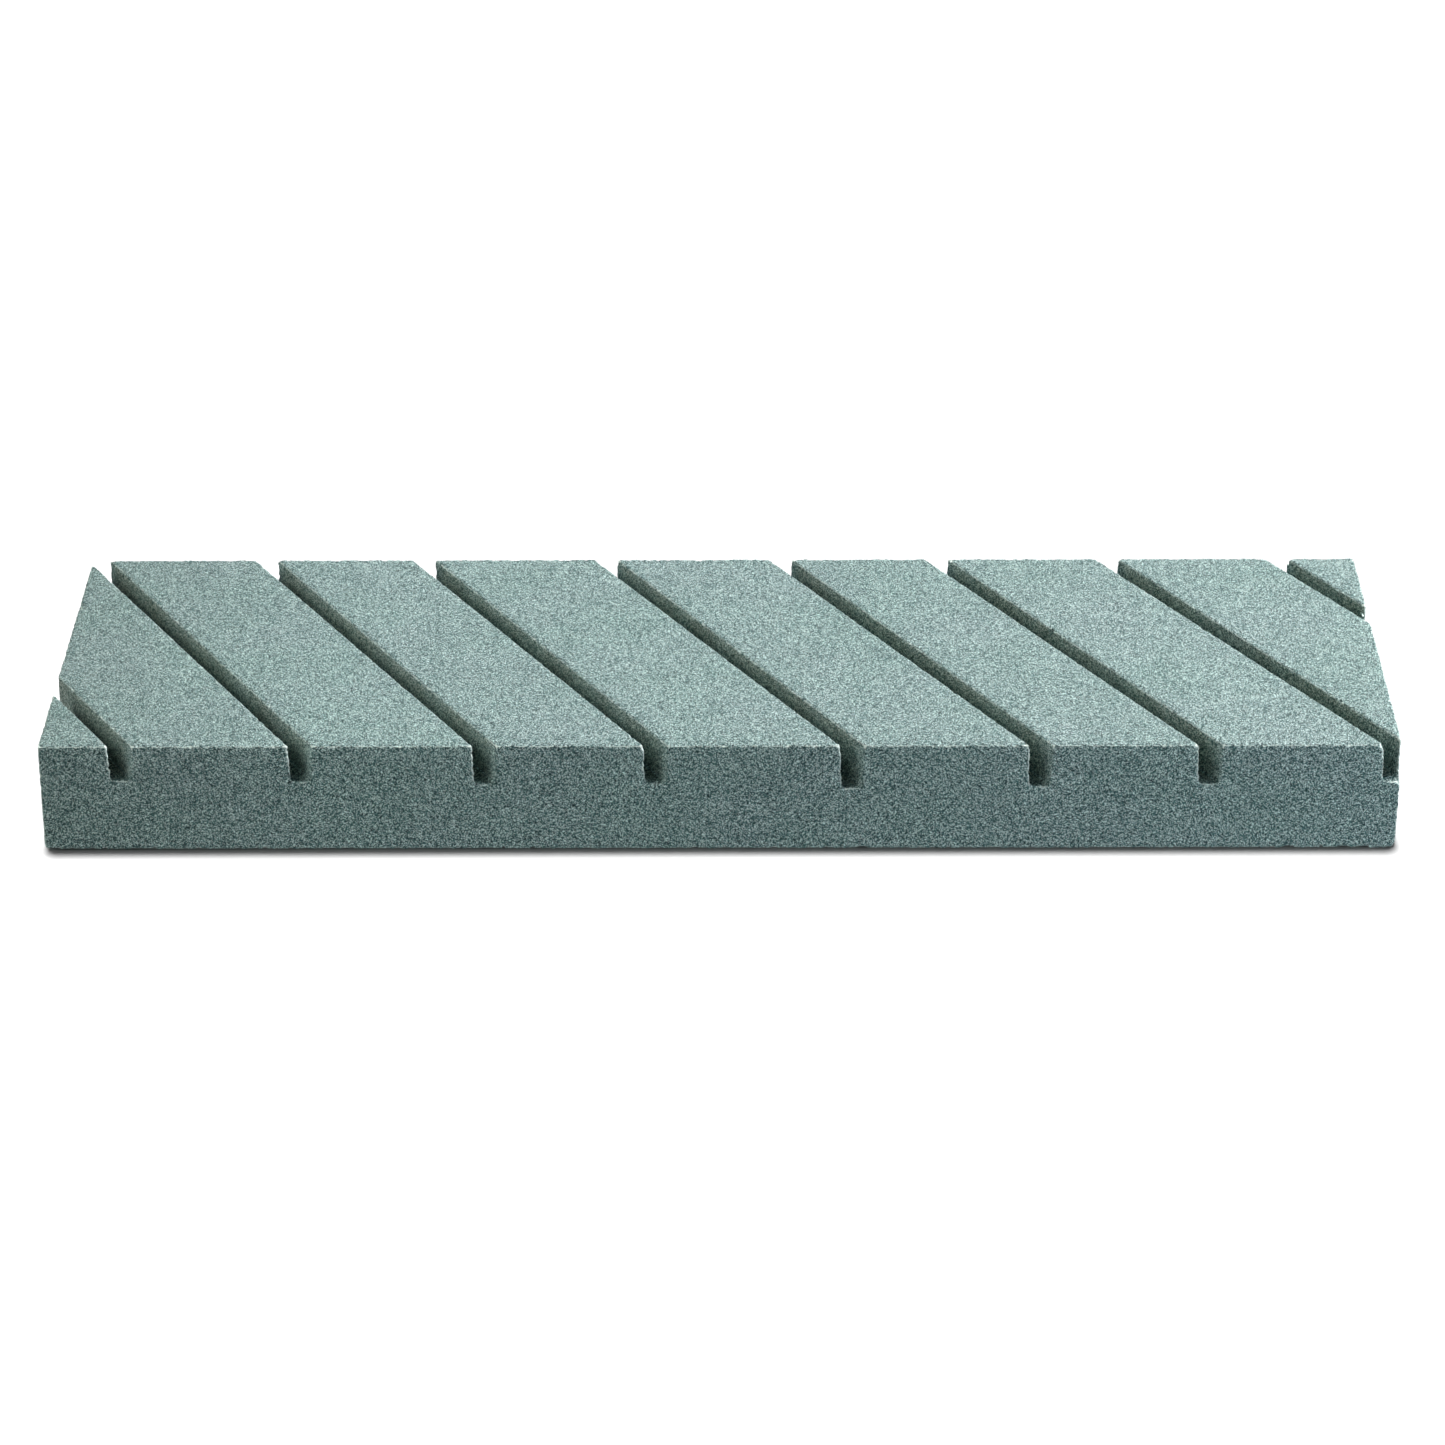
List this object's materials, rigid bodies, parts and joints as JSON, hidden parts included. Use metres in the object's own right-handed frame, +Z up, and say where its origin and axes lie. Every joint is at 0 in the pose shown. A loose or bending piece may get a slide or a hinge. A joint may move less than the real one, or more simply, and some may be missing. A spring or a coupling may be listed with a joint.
{
  "type": "flattening stone",
  "caption": "Flat rectangular block of green abrasive grit with slanting parallel grooves sawn across its top face, rubbed on a sharpening stone to make it flat again.",
  "frame": {"origin": "centre of the flat underside", "axes": "+X along the block's length, +Y across its width away from the long side shown in front, +Z up, out of the grooved working face"},
  "size_m": [0.229, 0.076, 0.0195],
  "materials": {
    "abrasive": "coarse matte grit"
  },
  "bodies": {
    "root": {"stone": "abrasive"}
  },
  "joints": []
}
